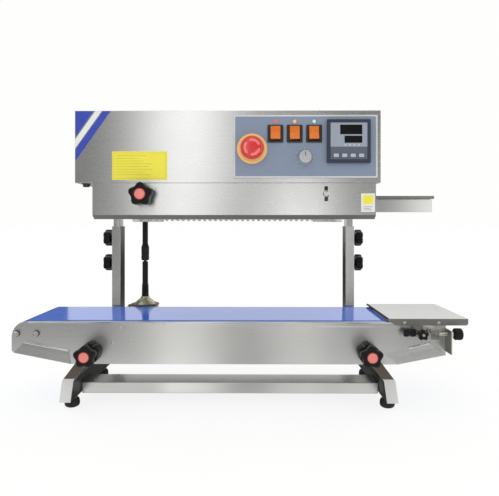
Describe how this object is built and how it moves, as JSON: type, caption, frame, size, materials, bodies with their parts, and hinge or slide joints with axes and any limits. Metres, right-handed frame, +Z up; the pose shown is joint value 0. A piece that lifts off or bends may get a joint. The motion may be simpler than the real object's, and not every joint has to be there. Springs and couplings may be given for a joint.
{
  "type": "continuous band sealer",
  "caption": "Bench-top continuous band sealer: a height-adjustable heat-sealing head on two columns over a blue belt conveyor on folded legs.",
  "frame": {"origin": "bottom centre of the machine's box, on the bench plane between the four feet", "axes": "+X to the operator's right along the conveyor, +Y away from the operator, +Z up"},
  "size_m": [0.822, 0.3344, 0.5235],
  "materials": {
    "stainless": "brushed",
    "dull_steel": "satin",
    "rubber": "moulded",
    "zinc": "yellow zinc plated",
    "black_steel": "black oxide",
    "nickel": "polished",
    "brass": "turned",
    "belt_blue": "smooth gloss",
    "black_plastic": "moulded",
    "panel_grey": "printed film",
    "estop_yellow": "moulded",
    "estop_red": "moulded",
    "rocker_orange": "translucent moulded",
    "controller_blue": "moulded",
    "key_grey": "moulded",
    "aluminium": "machined",
    "silicone": "silicone tyre",
    "band_brown": "coated glass cloth",
    "guide_belt_white": "toothed belt"
  },
  "bodies": {
    "base": {"conveyor_frame": "stainless", "conveyor_belt": "belt_blue", "gear_housing": "zinc", "infeed_tray": "stainless", "belt_tension_block": "nickel", "left_leg": "stainless", "right_leg": "stainless", "crossbar": "stainless", "front_left_foot": "rubber", "front_right_foot": "rubber", "rear_left_foot": "rubber", "rear_right_foot": "rubber", "left_outer_column": "stainless", "right_outer_column": "stainless"},
    "sealing_head": {"head_frame": "stainless", "head_casing": "stainless", "head_rear_panel": "stainless", "control_panel": "panel_grey", "estop_collar": "estop_yellow", "temperature_controller": "controller_blue", "front_guide_plate": "stainless", "rear_guide_plate": "stainless", "gear_motor": "dull_steel", "front_heat_and_cool_bar": "aluminium", "rear_heat_and_cool_bar": "aluminium", "front_seal_band": "band_brown", "rear_seal_band": "band_brown", "front_guide_belt": "guide_belt_white", "rear_guide_belt": "guide_belt_white"},
    "left_end_roller": {"left_end_roller": "dull_steel"},
    "right_end_roller": {"right_end_roller": "dull_steel"},
    "drive_roller": {"drive_roller": "rubber"},
    "lower_drive_shaft": {"lower_drive_shaft": "black_steel"},
    "upper_drive_shaft": {"upper_drive_shaft": "black_steel"},
    "front_infeed_wheel": {"front_infeed_wheel": "aluminium"},
    "front_outfeed_wheel": {"front_outfeed_wheel": "aluminium"},
    "front_press_wheel": {"front_press_wheel": "silicone"},
    "rear_infeed_wheel": {"rear_infeed_wheel": "aluminium"},
    "rear_outfeed_wheel": {"rear_outfeed_wheel": "aluminium"},
    "rear_press_wheel": {"rear_press_wheel": "silicone"},
    "tray_star_knob": {"tray_star_knob": "black_plastic"},
    "tray_knurled_screw": {"tray_knurled_screw": "black_plastic"},
    "belt_tension_screw": {"belt_tension_screw": "brass"},
    "left_leg_knob": {"left_leg_knob": "black_plastic"},
    "left_upper_column_knob": {"left_upper_column_knob": "black_plastic"},
    "left_lower_column_knob": {"left_lower_column_knob": "black_plastic"},
    "right_leg_knob": {"right_leg_knob": "black_plastic"},
    "right_upper_column_knob": {"right_upper_column_knob": "black_plastic"},
    "right_lower_column_knob": {"right_lower_column_knob": "black_plastic"},
    "safety_cover": {"safety_cover": "stainless"},
    "cover_knob": {"cover_knob": "black_plastic"},
    "estop_button": {"estop_button": "estop_red"},
    "power_rocker": {"power_rocker": "rocker_orange"},
    "fan_rocker": {"fan_rocker": "rocker_orange"},
    "heater_rocker": {"heater_rocker": "rocker_orange"},
    "speed_knob": {"speed_knob": "nickel"},
    "controller_key_1": {"controller_key_1": "key_grey"},
    "controller_key_2": {"controller_key_2": "key_grey"},
    "controller_key_3": {"controller_key_3": "key_grey"},
    "controller_key_4": {"controller_key_4": "key_grey"}
  },
  "joints": [
    {"name": "head_height", "type": "slide", "parent": "base", "child": "sealing_head", "axis": [0, 0, 1], "range_m": [0, 0.1]},
    {"name": "left_end_roller_spin", "type": "hinge", "parent": "base", "child": "left_end_roller", "pos_m": [-0.382, -0.07085, 0.136], "axis": [0, 1, 0], "continuous": true},
    {"name": "right_end_roller_spin", "type": "hinge", "parent": "base", "child": "right_end_roller", "pos_m": [0.346, -0.07085, 0.136], "axis": [0, 1, 0], "continuous": true},
    {"name": "drive_roller_spin", "type": "hinge", "parent": "base", "child": "drive_roller", "pos_m": [-0.209, -0.07085, 0.1291], "axis": [0, 1, 0], "continuous": true},
    {"name": "lower_shaft_spin", "type": "hinge", "parent": "base", "child": "lower_drive_shaft", "pos_m": [-0.209, 0.11915, 0.2], "axis": [0, 0, 1], "continuous": true},
    {"name": "upper_shaft_spin", "type": "hinge", "parent": "sealing_head", "child": "upper_drive_shaft", "pos_m": [-0.209, 0.11915, 0.3], "axis": [0, 0, 1], "continuous": true},
    {"name": "front_infeed_wheel_spin", "type": "hinge", "parent": "sealing_head", "child": "front_infeed_wheel", "pos_m": [0.171, -0.01725, 0.38], "axis": [0, 0, 1], "continuous": true},
    {"name": "front_outfeed_wheel_spin", "type": "hinge", "parent": "sealing_head", "child": "front_outfeed_wheel", "pos_m": [-0.179, -0.01725, 0.38], "axis": [0, 0, 1], "continuous": true},
    {"name": "front_press_wheel_spin", "type": "hinge", "parent": "sealing_head", "child": "front_press_wheel", "pos_m": [-0.119, -0.00395, 0.38], "axis": [0, 0, 1], "continuous": true},
    {"name": "rear_infeed_wheel_spin", "type": "hinge", "parent": "sealing_head", "child": "rear_infeed_wheel", "pos_m": [0.171, 0.03955, 0.38], "axis": [0, 0, 1], "continuous": true},
    {"name": "rear_outfeed_wheel_spin", "type": "hinge", "parent": "sealing_head", "child": "rear_outfeed_wheel", "pos_m": [-0.179, 0.03955, 0.38], "axis": [0, 0, 1], "continuous": true},
    {"name": "rear_press_wheel_spin", "type": "hinge", "parent": "sealing_head", "child": "rear_press_wheel", "pos_m": [-0.119, 0.02625, 0.38], "axis": [0, 0, 1], "continuous": true},
    {"name": "tray_star_knob_turn", "type": "hinge", "parent": "base", "child": "tray_star_knob", "pos_m": [0.321, -0.09285, 0.14], "axis": [0, -1, 0], "range_deg": [0, 540]},
    {"name": "tray_knurled_screw_turn", "type": "hinge", "parent": "base", "child": "tray_knurled_screw", "pos_m": [0.2925, -0.08385, 0.14], "axis": [-1, 0, 0], "range_deg": [0, 540]},
    {"name": "belt_tension_screw_turn", "type": "hinge", "parent": "base", "child": "belt_tension_screw", "pos_m": [0.335, -0.08485, 0.138], "axis": [1, 0, 0], "range_deg": [-720, 720]},
    {"name": "left_leg_knob_turn", "type": "hinge", "parent": "base", "child": "left_leg_knob", "pos_m": [-0.265, -0.09715, 0.1035], "axis": [0, -1, 0], "range_deg": [0, 540]},
    {"name": "left_upper_column_knob_turn", "type": "hinge", "parent": "base", "child": "left_upper_column_knob", "pos_m": [-0.2758, 0.11615, 0.303], "axis": [-1, 0, 0], "range_deg": [0, 540]},
    {"name": "left_lower_column_knob_turn", "type": "hinge", "parent": "base", "child": "left_lower_column_knob", "pos_m": [-0.2758, 0.11615, 0.2495], "axis": [-1, 0, 0], "range_deg": [0, 540]},
    {"name": "right_leg_knob_turn", "type": "hinge", "parent": "base", "child": "right_leg_knob", "pos_m": [0.23, -0.09715, 0.1035], "axis": [0, -1, 0], "range_deg": [0, 540]},
    {"name": "right_upper_column_knob_turn", "type": "hinge", "parent": "base", "child": "right_upper_column_knob", "pos_m": [0.2408, 0.11615, 0.303], "axis": [1, 0, 0], "range_deg": [0, 540]},
    {"name": "right_lower_column_knob_turn", "type": "hinge", "parent": "base", "child": "right_lower_column_knob", "pos_m": [0.2408, 0.11615, 0.2495], "axis": [1, 0, 0], "range_deg": [0, 540]},
    {"name": "safety_cover_hinge", "type": "hinge", "parent": "sealing_head", "child": "safety_cover", "pos_m": [-0.014, -0.13285, 0.4015], "axis": [-1, 0, 0], "range_deg": [0, 75]},
    {"name": "cover_knob_turn", "type": "hinge", "parent": "safety_cover", "child": "cover_knob", "pos_m": [-0.1582, -0.13315, 0.3817], "axis": [0, -1, 0], "range_deg": [0, 540]},
    {"name": "estop_press", "type": "slide", "parent": "sealing_head", "child": "estop_button", "axis": [0, 1, 0], "range_m": [0, 0.004]},
    {"name": "power_rocker_tilt", "type": "hinge", "parent": "sealing_head", "child": "power_rocker", "pos_m": [0.0631, -0.12885, 0.4839], "axis": [1, 0, 0], "range_deg": [0, 20]},
    {"name": "fan_rocker_tilt", "type": "hinge", "parent": "sealing_head", "child": "fan_rocker", "pos_m": [0.0953, -0.12885, 0.4839], "axis": [1, 0, 0], "range_deg": [0, 20]},
    {"name": "heater_rocker_tilt", "type": "hinge", "parent": "sealing_head", "child": "heater_rocker", "pos_m": [0.1278, -0.12885, 0.4839], "axis": [1, 0, 0], "range_deg": [0, 20]},
    {"name": "speed_knob_turn", "type": "hinge", "parent": "sealing_head", "child": "speed_knob", "pos_m": [0.1121, -0.13555, 0.4444], "axis": [0, -1, 0], "range_deg": [-150, 150]},
    {"name": "controller_key_1_press", "type": "slide", "parent": "sealing_head", "child": "controller_key_1", "axis": [0, 1, 0], "range_m": [0, 0.001], "stiffness_N_per_m": 500},
    {"name": "controller_key_2_press", "type": "slide", "parent": "sealing_head", "child": "controller_key_2", "axis": [0, 1, 0], "range_m": [0, 0.001], "stiffness_N_per_m": 500},
    {"name": "controller_key_3_press", "type": "slide", "parent": "sealing_head", "child": "controller_key_3", "axis": [0, 1, 0], "range_m": [0, 0.001], "stiffness_N_per_m": 500},
    {"name": "controller_key_4_press", "type": "slide", "parent": "sealing_head", "child": "controller_key_4", "axis": [0, 1, 0], "range_m": [0, 0.001], "stiffness_N_per_m": 500}
  ],
  "couplings": [
    {"joint": "right_end_roller_spin", "follows": "left_end_roller_spin", "ratio": 1},
    {"joint": "drive_roller_spin", "follows": "left_end_roller_spin", "ratio": 1.4825},
    {"joint": "lower_shaft_spin", "follows": "left_end_roller_spin", "ratio": 1.4825},
    {"joint": "upper_shaft_spin", "follows": "left_end_roller_spin", "ratio": 1.4825},
    {"joint": "front_infeed_wheel_spin", "follows": "left_end_roller_spin", "ratio": -0.7599},
    {"joint": "front_outfeed_wheel_spin", "follows": "left_end_roller_spin", "ratio": -0.7599},
    {"joint": "front_press_wheel_spin", "follows": "left_end_roller_spin", "ratio": -1.4825},
    {"joint": "rear_infeed_wheel_spin", "follows": "left_end_roller_spin", "ratio": 0.7599},
    {"joint": "rear_outfeed_wheel_spin", "follows": "left_end_roller_spin", "ratio": 0.7599},
    {"joint": "rear_press_wheel_spin", "follows": "left_end_roller_spin", "ratio": 1.4825}
  ]
}
